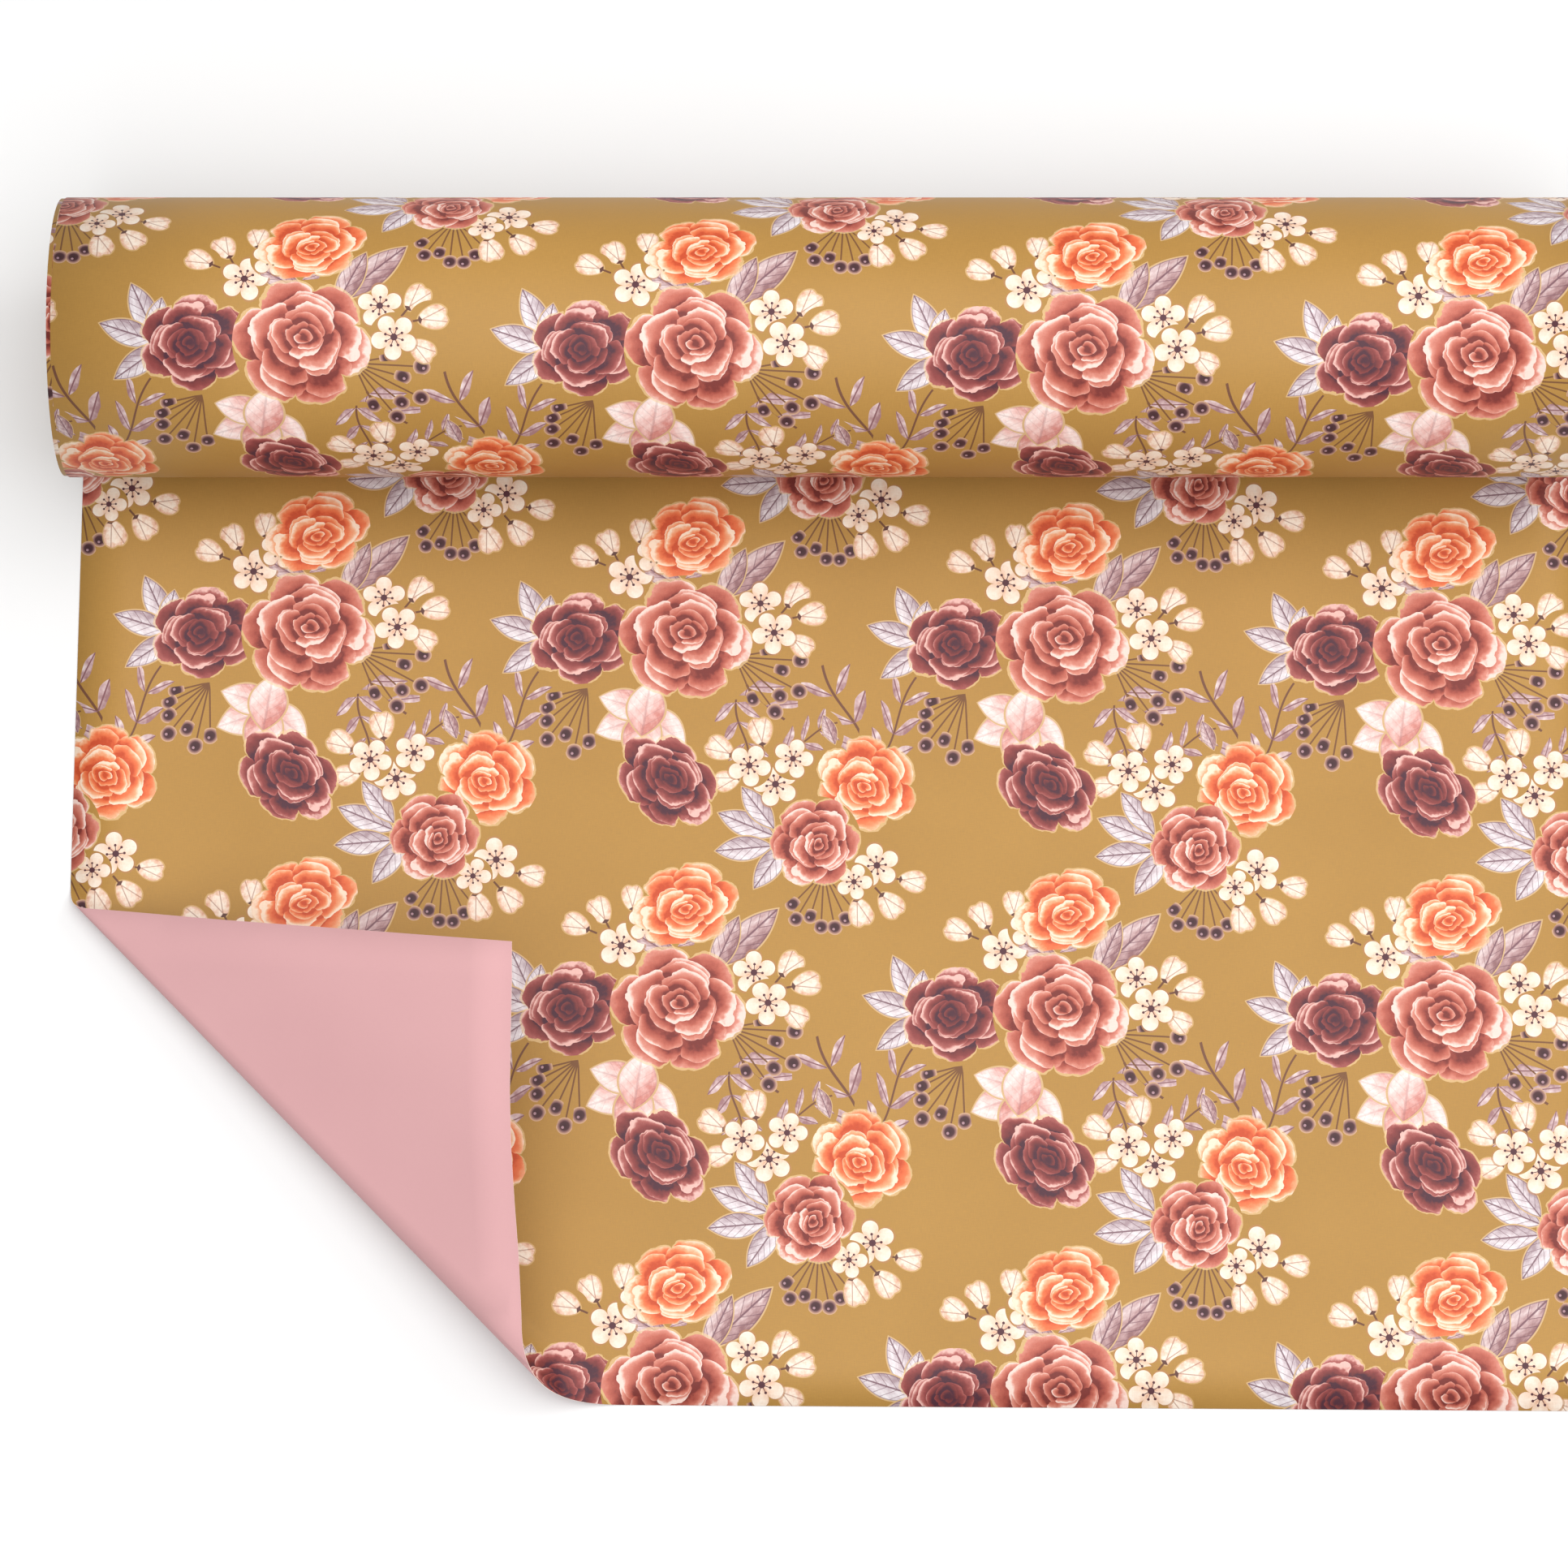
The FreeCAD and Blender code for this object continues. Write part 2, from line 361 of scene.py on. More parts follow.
# A rose in seven rounds of petals. Kind 0 is brick pink, 1 wine and 2 orange.
rose, takes, gives = effect("Rose", {"Point": "v", "Kind": "f"}, {"Colour": "c", "Cover": "f"})
brush = noise(rose, takes["Point"], 2.3, 3.0)
point = calc_vector(
    rose, "MULTIPLY_ADD",
    add(rose, "ShaderNodeCombineXYZ", calc(rose, "SUBTRACT", brush, 0.5),
        calc(rose, "SUBTRACT", 0.5, brush)),
    (0.34, 0.26, 0.0), takes["Point"],
)
tone = None
for centre, radius, count, turn, depth in (
    ((0.0, 0.0), 0.97, 6.0, 0.11, 0.36),
    ((0.05, -0.06), 0.82, 5.0, 0.45, 0.36),
    ((-0.07, 0.05), 0.68, 4.0, 0.20, 0.38),
    ((0.06, 0.07), 0.52, 3.0, 0.62, 0.44),
    ((-0.03, 0.10), 0.37, 3.0, 0.33, 0.50),
    ((0.03, 0.09), 0.24, 2.0, 0.80, 0.60),
    ((0.0, 0.10), 0.12, 2.0, 0.10, 0.85),
):
    ring = use(rose, petals, point, (*centre, 0.0), radius, count, turn, depth,
               tone if tone is not None else 0.0)
    if tone is None:
        outline = ring["Reach"]
    tone = ring["Tone"]
streak = noise(rose, takes["Point"], 9.0, 4.0, 0.7)
tone = calc(rose, "MULTIPLY_ADD", calc(rose, "SUBTRACT", streak, 0.5), 0.5, tone)
wash = noise(rose, takes["Point"], 1.7, 2.0)
tone = calc(rose, "MULTIPLY_ADD", calc(rose, "SUBTRACT", wash, 0.52), 1.3, tone)
heart = calc(rose, "MINIMUM", calc(rose, "MULTIPLY", calc_vector(rose, "LENGTH", point), 2.2), 1.0)
wine_tone = calc(rose, "MULTIPLY", tone, heart)
brick_pink = ramp(rose, tone, (0.0, tint(120, 44, 38)), (0.18, tint(164, 74, 60)), (0.46, tint(194, 104, 86)),
                  (0.76, tint(218, 142, 124)), (0.98, tint(246, 214, 202)))
wine = ramp(rose, wine_tone, (0.0, tint(76, 36, 50)), (0.18, tint(116, 50, 50)), (0.46, tint(140, 62, 60)),
            (0.76, tint(174, 96, 90)), (1.0, tint(236, 186, 176)))
orange = ramp(rose, tone, (0.0, tint(200, 76, 38)), (0.18, tint(224, 102, 58)), (0.42, tint(234, 124, 76)),
              (0.7, tint(244, 172, 128)), (0.96, tint(252, 224, 198)))
colour = mix(rose, "RGBA", calc(rose, "GREATER_THAN", takes["Kind"], 0.5), brick_pink, wine)
colour = mix(rose, "RGBA", calc(rose, "GREATER_THAN", takes["Kind"], 1.5), colour, orange)
body = calc(rose, "LESS_THAN", outline, 1.0)
halo = calc(rose, "MULTIPLY", calc(rose, "LESS_THAN", outline, 1.04), 0.55)
rose.links.new(mix(rose, "RGBA", body, tint(238, 202, 150), colour), gives["Colour"])
rose.links.new(calc(rose, "MAXIMUM", body, halo), gives["Cover"])

# Open blossom: five cream petals, a plum eye and a ring of stamens.
blossom, takes, gives = effect("Blossom", {"Point": "v", "Kind": "f"}, {"Colour": "c", "Cover": "f"})
parts = add(blossom, "ShaderNodeSeparateXYZ", takes["Point"]).node.outputs
radius = calc_vector(blossom, "LENGTH", takes["Point"])
angle = calc(blossom, "ARCTAN2", parts["Y"], parts["X"])
lobe = calc(blossom, "ABSOLUTE", calc(blossom, "COSINE", calc(blossom, "MULTIPLY", angle, 2.5)))
reach = calc(blossom, "DIVIDE", radius, calc(blossom, "MULTIPLY_ADD", calc(blossom, "POWER", lobe, 0.5),
                                             0.5, 0.42))
vein = noise(blossom, takes["Point"], 6.0, 3.0, 0.7)
shade = calc(blossom, "MULTIPLY_ADD", lobe, 0.35, calc(blossom, "MULTIPLY_ADD", vein, 0.5,
                                                     calc(blossom, "MULTIPLY", reach, 0.35)))
colour = ramp(blossom, shade, (0.25, tint(202, 142, 114)), (0.5, tint(234, 192, 164)),
              (0.74, tint(244, 218, 196)), (0.98, tint(250, 236, 220)))
sector = calc(blossom, "FRACT", calc(blossom, "MULTIPLY", angle, 8 / math.tau))
sector = calc(blossom, "SUBTRACT", sector, 0.5)
sideways = calc(blossom, "MULTIPLY", calc(blossom, "MULTIPLY", sector, math.tau / 8), radius)
dot = calc_vector(blossom, "LENGTH", add(blossom, "ShaderNodeCombineXYZ", sideways,
                                         calc(blossom, "SUBTRACT", radius, 0.36)))
stalk = calc(blossom, "MULTIPLY", calc(blossom, "LESS_THAN", calc(blossom, "ABSOLUTE", sideways), 0.016),
             calc(blossom, "LESS_THAN", radius, 0.36))
mark = calc(blossom, "MAXIMUM", calc(blossom, "LESS_THAN", dot, 0.055), stalk)
mark = calc(blossom, "MAXIMUM", mark, calc(blossom, "LESS_THAN", radius, 0.14))
colour = mix(blossom, "RGBA", mark, colour, tint(84, 44, 52))
body = calc(blossom, "LESS_THAN", reach, 1.0)
halo = calc(blossom, "MULTIPLY", calc(blossom, "LESS_THAN", reach, 1.1), 0.65)
blossom.links.new(mix(blossom, "RGBA", body, tint(180, 128, 84), colour), gives["Colour"])
blossom.links.new(calc(blossom, "MAXIMUM", body, halo), gives["Cover"])

# Leaf or pointed petal, along its own X: a midrib and slanting side veins. Kind 0 is pale lilac,
# 1 mauve and 2 a blush petal.
leaf, takes, gives = effect("Leaf or petal", {"Point": "v", "Kind": "f"}, {"Colour": "c", "Cover": "f"})
parts = add(leaf, "ShaderNodeSeparateXYZ", takes["Point"]).node.outputs
side = calc(leaf, "ABSOLUTE", parts["Y"])
reach = calc(leaf, "MULTIPLY_ADD", parts["X"], parts["X"], side)
wash = noise(leaf, takes["Point"], 2.4, 3.0, 0.6)
vein = calc(leaf, "FRACT", calc(leaf, "MULTIPLY", calc(leaf, "SUBTRACT", parts["X"],
                                                      calc(leaf, "MULTIPLY", side, 0.55)), 3.2))
vein = calc(leaf, "MULTIPLY", calc(leaf, "LESS_THAN", vein, 0.1), 0.7)
rib = calc(leaf, "LESS_THAN", side, 0.055)
margin = calc(leaf, "MULTIPLY", calc(leaf, "GREATER_THAN", reach, 0.83), 0.6)
lit = calc(leaf, "MULTIPLY_ADD", wash, 0.9, calc(leaf, "MULTIPLY", parts["Y"], 0.22))
pale = ramp(leaf, lit, (0.22, tint(170, 146, 152)), (0.46, tint(212, 196, 200)), (0.66, tint(240, 232, 234)))
mauve = ramp(leaf, lit, (0.22, tint(146, 104, 106)), (0.44, tint(190, 154, 154)), (0.64, tint(226, 204, 202)))
colour = mix(leaf, "RGBA", takes["Kind"], pale, mauve)
petal = calc(leaf, "GREATER_THAN", takes["Kind"], 1.5)
blush = ramp(leaf, calc(leaf, "MULTIPLY_ADD", parts["X"], 0.3, lit), (0.15, tint(208, 134, 124)),
             (0.42, tint(234, 186, 178)), (0.75, tint(252, 234, 228)))
colour = mix(leaf, "RGBA", petal, colour, blush)
lines = calc(leaf, "MAXIMUM", calc(leaf, "MAXIMUM", vein, calc(leaf, "MULTIPLY", rib, 0.85)), margin)
lines = calc(leaf, "MULTIPLY", lines, calc(leaf, "MULTIPLY_ADD", petal, -0.72, 1.0))
colour = mix(leaf, "RGBA", lines, colour, tint(112, 72, 84))
body = calc(leaf, "LESS_THAN", reach, 0.9)
leaf.links.new(mix(leaf, "RGBA", body, tint(226, 192, 148), colour), gives["Colour"])
leaf.links.new(calc(leaf, "MAXIMUM", body, calc(leaf, "MULTIPLY", calc(leaf, "LESS_THAN", reach, 1.0), 0.65)),
               gives["Cover"])

# Closed bud, along its own X: three cream petals wrapped together on a dark calyx and a short stalk.
bud, takes, gives = effect("Closed bud", {"Point": "v", "Kind": "f"}, {"Colour": "c", "Cover": "f"})
parts = add(bud, "ShaderNodeSeparateXYZ", takes["Point"]).node.outputs
side = calc(bud, "ABSOLUTE", parts["Y"])
bulge = calc(bud, "SUBTRACT", parts["X"], 0.18)
swell = calc(bud, "MULTIPLY_ADD", parts["X"], 0.22, 0.62)
reach = calc_vector(bud, "LENGTH", add(
    bud, "ShaderNodeCombineXYZ", calc(bud, "MULTIPLY", bulge, 1.35), calc(bud, "DIVIDE", side, swell)))
notch = calc(bud, "MULTIPLY", calc(bud, "MAXIMUM", calc(bud, "SUBTRACT", 0.3, side), 0.0), calc(
    bud, "GREATER_THAN", parts["X"], 0.3))
reach = calc(bud, "MULTIPLY_ADD", notch, 0.5, reach)
wash = noise(bud, takes["Point"], 2.6, 3.0, 0.6)
lit = calc(bud, "MULTIPLY_ADD", reach, -0.28, calc(bud, "ADD", wash, 0.22))
colour = ramp(bud, lit, (0.25, tint(204, 142, 112)), (0.42, tint(234, 192, 166)), (0.64, tint(250, 232, 214)))
fold_line = calc(bud, "SUBTRACT", side, calc(bud, "MULTIPLY_ADD", parts["X"], 0.34, 0.12))
fold_line = calc(bud, "ABSOLUTE", fold_line)
lines = calc(bud, "MULTIPLY", calc(bud, "LESS_THAN", fold_line, 0.035), 0.6)
colour = mix(bud, "RGBA", lines, colour, tint(150, 92, 74))
cup = calc(bud, "LESS_THAN", calc(bud, "MULTIPLY_ADD", side, 0.5, parts["X"]), -0.36)
colour = mix(bud, "RGBA", cup, colour, tint(96, 60, 52))
body = calc(bud, "LESS_THAN", reach, 1.0)
halo = calc(bud, "MULTIPLY", calc(bud, "LESS_THAN", reach, 1.1), 0.6)
stalk = calc(bud, "MULTIPLY", calc(bud, "LESS_THAN", side, 0.06), calc(bud, "LESS_THAN", parts["X"], -0.3))
rim = mix(bud, "RGBA", stalk, tint(222, 184, 132), tint(110, 68, 44))
bud.links.new(mix(bud, "RGBA", body, rim, colour), gives["Colour"])
bud.links.new(calc(bud, "MAXIMUM", calc(bud, "MAXIMUM", body, stalk), halo), gives["Cover"])

# Spray of berries: thin stalks fan out from a point, each with a dark berry at its end.
berries, takes, gives = effect("Spray of berries", {"Point": "v", "Kind": "f"}, {"Colour": "c", "Cover": "f"})
from_hub = calc_vector(berries, "ADD", takes["Point"], (0.86, 0.0, 0.0))
parts = add(berries, "ShaderNodeSeparateXYZ", from_hub).node.outputs
radius = calc_vector(berries, "LENGTH", from_hub)
stems_per_radian = 4.3
spread = calc(berries, "MULTIPLY", calc(berries, "ARCTAN2", parts["Y"], parts["X"]), stems_per_radian)
stem = calc(berries, "ROUND", spread)
chance = berries.nodes.new("ShaderNodeTexWhiteNoise")
chance.noise_dimensions = "1D"
berries.links.new(calc(berries, "MULTIPLY_ADD", takes["Kind"], 17.0, stem), chance.inputs["W"])
length = calc(berries, "MULTIPLY_ADD", chance.outputs["Value"], 0.55, 0.98)
length = calc(berries, "MULTIPLY_ADD", calc(berries, "MULTIPLY", stem, stem), -0.035, length)
sideways = calc(berries, "DIVIDE", calc(berries, "SUBTRACT", spread, stem), stems_per_radian)
sideways = calc(berries, "MULTIPLY", sideways, radius)
in_fan = calc(berries, "LESS_THAN", calc(berries, "ABSOLUTE", stem), 3.5)
ball = calc_vector(berries, "LENGTH", add(berries, "ShaderNodeCombineXYZ", sideways,
                                          calc(berries, "SUBTRACT", radius, length)))
stalk = calc(berries, "MULTIPLY", calc(berries, "LESS_THAN", calc(berries, "ABSOLUTE", sideways), 0.017),
             calc(berries, "LESS_THAN", radius, length))
glint = calc_vector(berries, "LENGTH", add(
    berries, "ShaderNodeCombineXYZ", calc(berries, "ADD", sideways, 0.03),
    calc(berries, "SUBTRACT", calc(berries, "SUBTRACT", radius, length), 0.035)))
colour = ramp(berries, calc(berries, "MULTIPLY", ball, 5.6), (0.0, tint(60, 30, 36)), (0.5, tint(76, 42, 46)),
              (0.66, tint(140, 100, 98)), (0.9, tint(206, 164, 132)))
colour = mix(berries, "RGBA", calc(berries, "LESS_THAN", glint, 0.028), colour, tint(170, 134, 142))
berry = calc(berries, "LESS_THAN", ball, 0.168)
berries.links.new(mix(berries, "RGBA", berry, tint(120, 78, 46), colour), gives["Colour"])
berries.links.new(calc(berries, "MULTIPLY", calc(berries, "MAXIMUM", berry, stalk), in_fan), gives["Cover"])

# Twig, along its own X: a bent stem with pairs of small leaves that get narrower towards the tip.
twig, takes, gives = effect("Twig", {"Point": "v", "Kind": "f"}, {"Colour": "c", "Cover": "f"})
parts = add(twig, "ShaderNodeSeparateXYZ", takes["Point"]).node.outputs
bend = calc(twig, "MULTIPLY", calc(twig, "SINE", calc(twig, "MULTIPLY", parts["X"], 2.6)), 0.13)
off_stem = calc(twig, "SUBTRACT", parts["Y"], bend)
side = calc(twig, "ABSOLUTE", off_stem)
slanted = calc(twig, "SUBTRACT", parts["X"], calc(twig, "MULTIPLY", side, 0.75))
stage_share = calc(twig, "SUBTRACT", calc(twig, "FRACT", calc(twig, "MULTIPLY", slanted, 1.75)), 0.5)
outward = calc(twig, "ABSOLUTE", calc(twig, "MULTIPLY", calc(twig, "SUBTRACT", side, 0.34), 2.8))
blade = calc(twig, "MULTIPLY_ADD", calc(twig, "ABSOLUTE", stage_share), 3.3,
             calc(twig, "POWER", outward, 1.6))
taper = calc(twig, "MULTIPLY_ADD", parts["X"], -0.25, 0.85)
leafed = calc(twig, "MULTIPLY", calc(twig, "LESS_THAN", blade, taper), calc(
    twig, "LESS_THAN", calc(twig, "ABSOLUTE", parts["X"]), 0.82))
stem = calc(twig, "MULTIPLY", calc(twig, "LESS_THAN", side, 0.03), calc(
    twig, "LESS_THAN", calc(twig, "ABSOLUTE", parts["X"]), 0.9))
colour = ramp(twig, calc(twig, "MULTIPLY_ADD", noise(twig, takes["Point"], 5.0), 0.8, calc(
    twig, "MULTIPLY", stage_share, 0.5)), (0.25, tint(158, 116, 118)), (0.45, tint(204, 172, 172)),
    (0.65, tint(234, 216, 214)))
colour = mix(twig, "RGBA", calc(twig, "LESS_THAN", calc(twig, "ABSOLUTE", stage_share), 0.03), colour,
             tint(136, 92, 96))
twig.links.new(mix(twig, "RGBA", leafed, tint(116, 74, 52), colour), gives["Colour"])
twig.links.new(calc(twig, "MAXIMUM", leafed, stem), gives["Cover"])

# The whole print, laid out in repeats: two bouquets and a loose rose on mottled ochre.
bouquet, takes, gives = effect("Bouquet print", {"Web": "v"}, {"Colour": "c"})
point = add(bouquet, "ShaderNodeMapping", takes["Web"], print_start,
            (0.0, 0.0, math.radians(-print_turn)), (1 / repeat, 1 / repeat, 0.0))
painted = mix(bouquet, "RGBA", noise(bouquet, point, 2.2, 4.0), tint(168, 125, 57), tint(185, 140, 69))
for motif, pointed, places in (
    (twig, 0.0, (
        ((0.245, -0.205), (0.125, 0.115), -50, 0), ((0.155, -0.255), (0.10, 0.09), -84, 0),
        ((0.425, -0.19), (0.15, 0.12), 112, 0), ((0.565, -0.215), (0.14, 0.09), 64, 0),
        ((0.335, -0.265), (0.09, 0.08), 24, 0), ((-0.02, 0.20), (0.08, 0.05), 160, 0),
    )),
    (berries, 0.0, (
        ((-0.325, -0.235), (0.135, 0.13), -126, 0), ((0.235, -0.105), (0.135, 0.13), -28, 1),
        ((0.372, -0.735), (0.12, 0.125), -92, 2),
    )),
    (leaf, 1.0, (
        ((-0.405, 0.075), (0.085, 0.036), 116, 0), ((-0.44, 0.018), (0.085, 0.036), 163, 0),
        ((-0.415, -0.055), (0.085, 0.034), 216, 0), ((-0.37, 0.055), (0.06, 0.03), 80, 0),
        ((0.175, 0.19), (0.12, 0.044), 44, 1), ((0.12, 0.17), (0.09, 0.034), 66, 1),
        ((-0.06, 0.165), (0.08, 0.03), 150, 1), ((0.17, -0.505), (0.085, 0.036), 158, 0),
        ((0.165, -0.57), (0.08, 0.036), 186, 0), ((0.235, -0.615), (0.08, 0.034), 236, 0),
        ((0.20, -0.46), (0.075, 0.032), 128, 0), ((0.385, -0.245), (0.045, 0.02), 112, 1),
        ((-0.155, -0.235), (0.085, 0.05), 200, 2), ((-0.055, -0.245), (0.08, 0.05), -38, 2),
        ((-0.15, -0.185), (0.08, 0.045), 165, 2), ((-0.11, -0.27), (0.085, 0.055), -104, 2),
        ((-0.10, -0.195), (0.08, 0.055), 82, 2),
    )),
    (bud, 0.0, (
        ((0.285, 0.112), (0.052, 0.046), 52, 0), ((0.325, 0.068), (0.052, 0.046), 12, 0),
        ((0.300, -0.010), (0.048, 0.042), -35, 0), ((-0.205, 0.250), (0.050, 0.044), 118, 0),
        ((-0.262, 0.215), (0.050, 0.044), 158, 0), ((-0.125, 0.285), (0.046, 0.040), 92, 0),
        ((0.105, -0.305), (0.052, 0.046), 152, 0), ((0.205, -0.262), (0.052, 0.046), 98, 0),
        ((0.125, -0.385), (0.046, 0.040), 196, 0), ((0.470, -0.728), (0.052, 0.046), -72, 0),
        ((0.545, -0.708), (0.052, 0.046), -48, 0), ((0.600, -0.650), (0.048, 0.042), -8, 0),
    )),
    (blossom, 0.0, (
        ((0.197, 0.098), (0.062, 0.062), 20, 0), ((0.235, 0.018), (0.064, 0.064), 50, 0),
        ((-0.152, 0.165), (0.066, 0.066), 5, 0), ((-0.085, 0.225), (0.056, 0.056), 80, 0),
        ((0.245, -0.395), (0.066, 0.066), 35, 0), ((0.29, -0.325), (0.058, 0.058), 0, 0),
        ((0.175, -0.345), (0.062, 0.062), 62, 0), ((0.515, -0.61), (0.064, 0.064), 28, 0),
        ((0.455, -0.655), (0.052, 0.052), 70, 0),
    )),
    (rose, 0.0, (
        ((-0.275, -0.005), (0.125, 0.148), 100, 1),
        ((0.015, 0.275), (0.142, 0.115), 200, 2), ((0.0, 0.0), (0.178, 0.172), 0, 0),
        ((-0.04, -0.39), (0.15, 0.115), 320, 1), ((0.485, -0.39), (0.138, 0.13), 160, 2),
        ((0.352, -0.55), (0.125, 0.12), 250, 0),
    )),
):
    motif_point, motif_kind = lay_out(bouquet, point, places, pointed)
    drawn = use(bouquet, motif, motif_point, motif_kind)
    painted = mix(bouquet, "RGBA", drawn["Cover"], painted, drawn["Colour"])
bouquet.links.new(painted, gives["Colour"])

# Paper fibre: short fibres lying mostly along and across the web.
fibres, takes, gives = effect("Paper fibre", {"Web": "v"}, {"Height": "f"})
along = noise(fibres, calc_vector(fibres, "MULTIPLY", takes["Web"], (3400.0, 260.0, 0.0)), 1.0, 2.0)
across = noise(fibres, calc_vector(fibres, "MULTIPLY", takes["Web"], (260.0, 3400.0, 0.0)), 1.0, 2.0)
fibres.links.new(calc(fibres, "ADD", along, across), gives["Height"])

printed_side, tree, shader = new_finish("printed_side", 0.5)
web = add(tree, "ShaderNodeUVMap", uv_map="Web")
fibre = use(tree, fibres, web)["Height"]
thread = calc(tree, "MULTIPLY_ADD", fibre, 0.16, 0.65)
ink = calc_vector(tree, "SCALE", use(tree, bouquet, web)["Colour"])
tree.links.new(thread, ink.node.inputs["Scale"])
tree.links.new(ink, shader.inputs["Base Color"])
tree.links.new(calc(tree, "MULTIPLY_ADD", fibre, 0.12, 0.42), shader.inputs["Roughness"])
shader.inputs["Specular IOR Level"].default_value = 0.35
relief(tree, shader, fibre, 0.25, 0.00005)

pink_side, tree, shader = new_finish("pink_reverse", 0.82)
web = add(tree, "ShaderNodeUVMap", uv_map="Web")
fibre = use(tree, fibres, web)["Height"]
cloud = noise(tree, web, 14.0, 3.0)
tree.links.new(
    mix(tree, "RGBA", calc(tree, "MULTIPLY_ADD", fibre, 0.25, calc(tree, "MULTIPLY", cloud, 0.5)),
        tint(190, 144, 146), tint(201, 156, 157)),
    shader.inputs["Base Color"],
)
tree.links.new(calc(tree, "MULTIPLY_ADD", cloud, 0.12, 0.72), shader.inputs["Roughness"])
shader.inputs["Specular IOR Level"].default_value = 0.2
relief(tree, shader, fibre, 0.2, 0.00004)

bare_edge, tree, shader = new_finish("bare_paper_edge", 0.9)
place = add(tree, "ShaderNodeTexCoord").node.outputs["Object"]
tree.links.new(
    mix(tree, "RGBA", noise(tree, place, 900.0), tint(222, 196, 176), tint(250, 238, 226)),
    shader.inputs["Base Color"],
)

# --- wound turns ----------------------------------------------------------------------------------
# The earlier turns of the web, some 340 of them, wound tight on the core from the start tape on. They
# have slid a couple of millimetres to the left of the last turns, and their edges are not quite level.

wound_low, wound_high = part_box("wound_web")
wound_radius = wound_high[1]
tape_clearance = 0.0002
first_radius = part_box("core_outer_ply")[1][1] + tape_clearance
roll_low, roll_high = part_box("outer_wrap")
roll_radius = roll_high[1]
bundles = 70             # groups of turns that have slid together, from the core to the outside
stations_round = 144
straight_web = 0.5123    # from the cut edge to where the web leaves the roll
leaving_angle = 0.33126  # of that line behind the roll's lowest line
print_shift = 0.071      # of the earlier turns' print past the last turns'

slide_spread = 0.00013   # how far a bundle slides past the one inside it
edge_spread = 0.00005    # how far its edge is out of level
slides = random.Random(7)
slide, edge_slides = 0.0, []
for bundle in range(bundles):
    slide = 0.86 * slide + slides.gauss(0.0, slide_spread)
    edge_slides.append(slide + slides.uniform(-edge_spread, edge_spread))
radii = [first_radius + (wound_radius - first_radius) * bundle / bundles for bundle in range(bundles + 1)]
profile = []
for bundle, slide in enumerate(edge_slides):
    profile += [(wound_low[0] + slide, radii[bundle]), (wound_low[0] + slide, radii[bundle + 1])]
print_row = len(profile) - 1
for bundle, slide in reversed(list(enumerate(edge_slides))):
    profile += [(wound_high[0] + slide, radii[bundle + 1]), (wound_high[0] + slide, radii[bundle])]

wound = bmesh.new()
uv_layer = wound.loops.layers.uv.new("Web")
rings = []
for station in range(stations_round):
    turn = math.tau * station / stations_round
    down, back = math.cos(leaving_angle - turn), math.sin(leaving_angle - turn)
    rings.append([wound.verts.new((x, r * back, axis_height - r * down)) for x, r in profile])
for station in range(stations_round):
    here, there = rings[station], rings[(station + 1) % stations_round]
    for row in range(len(profile)):
        after = (row + 1) % len(profile)
        face = wound.faces.new((here[row], here[after], there[after], there[row]))
        face.material_index = 0 if row == print_row else 1
        face.smooth = row in (print_row, len(profile) - 1)
        for loop, (corner, step) in zip(face.loops, ((row, 0), (after, 0), (after, 1), (row, 1))):
            unrolled = wound_radius * math.tau * (station + step) / stations_round
            loop[uv_layer].uv = (profile[corner][0], straight_web + print_shift + unrolled)
bmesh.ops.recalc_face_normals(wound, faces=wound.faces)
wound_data = bpy.data.meshes.new("wound_turns")
wound.to_mesh(wound_data)

# The ends of the turns: bare edges in fine rings, with now and then a darker ring, painted shade standing in
# for a gap between bundles.
turn_edges, tree, shader = new_finish("turn_edges", 0.9)
place = add(tree, "ShaderNodeTexCoord").node.outputs["Object"]
around = use(tree, round_roll, place)
lines = tree.nodes.new("ShaderNodeTexNoise")
lines.noise_dimensions = "1D"
lines.inputs["Scale"].default_value = 1.0
lines.inputs["Detail"].default_value = 2.0
tree.links.new(calc(tree, "MULTIPLY", around["Radius"], 5200.0), lines.inputs["W"])
bands = noise(tree, add(tree, "ShaderNodeCombineXYZ", calc(tree, "MULTIPLY", around["Radius"], 420.0),
                        calc(tree, "SINE", around["Angle"])), 1.0, 2.0)
level = calc(tree, "MULTIPLY_ADD", lines.outputs[0], 0.65, calc(tree, "MULTIPLY", bands, 0.45))
tree.links.new(
    ramp(tree, level, (0.3, tint(168, 128, 112)), (0.46, tint(214, 182, 164)), (0.62, tint(240, 222, 206))),
    shader.inputs["Base Color"],
)
relief(tree, shader, level, 0.5, 0.0001)
for finish in (printed_side, turn_edges):
    wound_data.materials.append(finish)
wound_turns = bpy.data.objects.new("wound_turns", wound_data)
scene.collection.objects.link(wound_turns)
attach(wound_turns, "roll")
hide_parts("wound_web")

# --- outer turns ----------------------------------------------------------------------------------
# The last turns of the web, wound level over the earlier ones with the print outwards. The very last
# one leaves the roll low down at its rear, where it becomes the loose sheet.

paper_thickness = 0.0001
outer_turns_count = 2.8
turn_build = 0.00017     # how far each turn lies inside the next
print_margin = 0.00002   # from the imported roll's surface to the print
facets_round = 120
strips_along = 8


def score(web, point, direction):
    """Divides a flat web along a line, so that it can bend there."""
    bmesh.ops.bisect_plane(
        web, geom=web.verts[:] + web.edges[:] + web.faces[:], dist=1e-7,
        plane_co=(*point, 0.0), plane_no=(direction[1], -direction[0], 0.0),
    )


